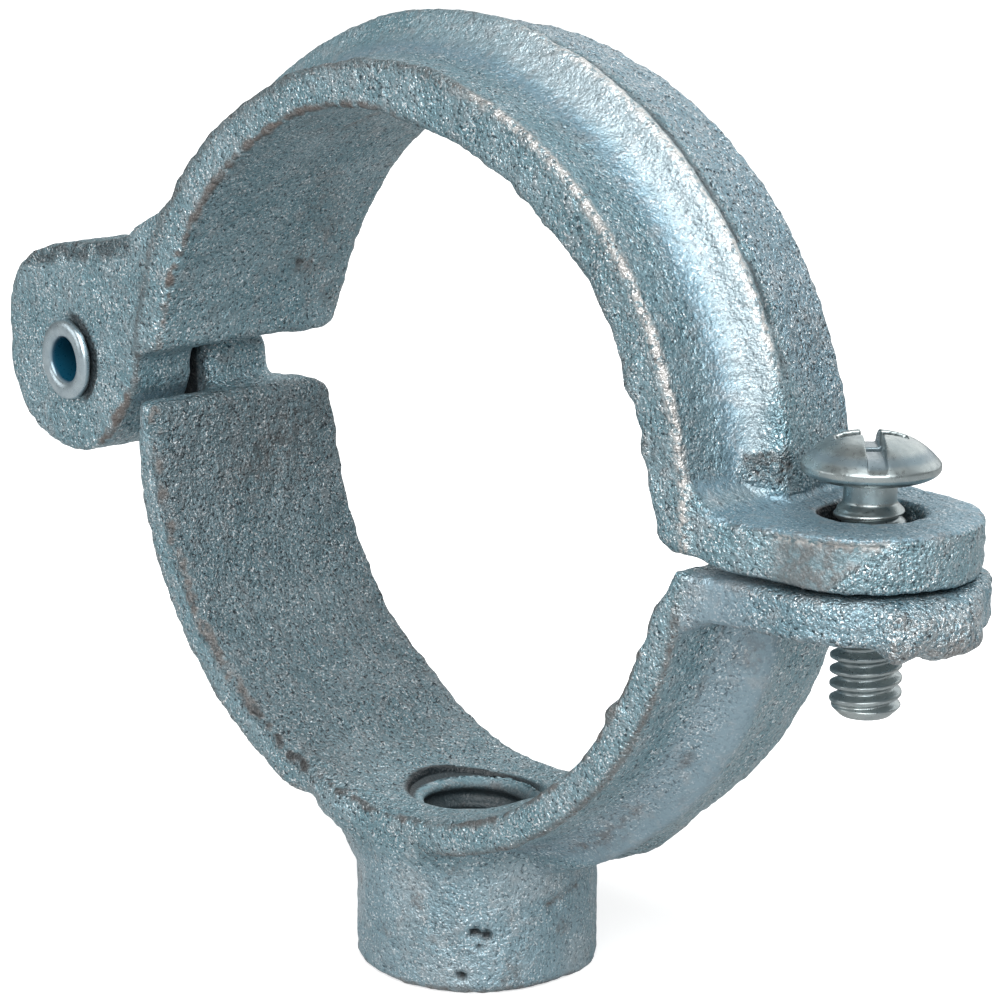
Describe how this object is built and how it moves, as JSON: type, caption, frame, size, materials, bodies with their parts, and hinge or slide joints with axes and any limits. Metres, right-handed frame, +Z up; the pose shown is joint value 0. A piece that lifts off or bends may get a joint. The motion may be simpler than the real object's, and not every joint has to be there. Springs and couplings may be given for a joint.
{
  "type": "split ring hanger",
  "caption": "Hinged cast-iron split ring that closes round a pipe with a machine screw, with a tapped boss for a threaded rod.",
  "frame": {"origin": "centre of the boss mouth, on the axis of the rod thread", "axes": "+Z up through the boss towards the pipe, +Y along the pipe, +X from the hinge to the screw"},
  "size_m": [0.0893, 0.0194, 0.0713],
  "materials": {
    "casting_upper": "rough zinc plate",
    "casting_lower": "rough zinc plate",
    "rivet": "bright zinc plate",
    "screw": "bright zinc plate"
  },
  "bodies": {
    "lower_ring": {"lower_half": "casting_lower", "hinge_rivet": "rivet"},
    "upper_ring": {"upper_half": "casting_upper"},
    "screw": {"clamp_screw": "screw"}
  },
  "joints": [
    {"name": "ring_hinge", "type": "hinge", "parent": "lower_ring", "child": "upper_ring", "pos_m": [-0.037, 0, 0.0429], "axis": [0, -1, 0], "range_deg": [0, 170]},
    {"name": "screw_slide", "type": "slide", "parent": "upper_ring", "child": "screw", "axis": [0, 0, 1], "range_m": [-0.0021, 0.0105]}
  ]
}
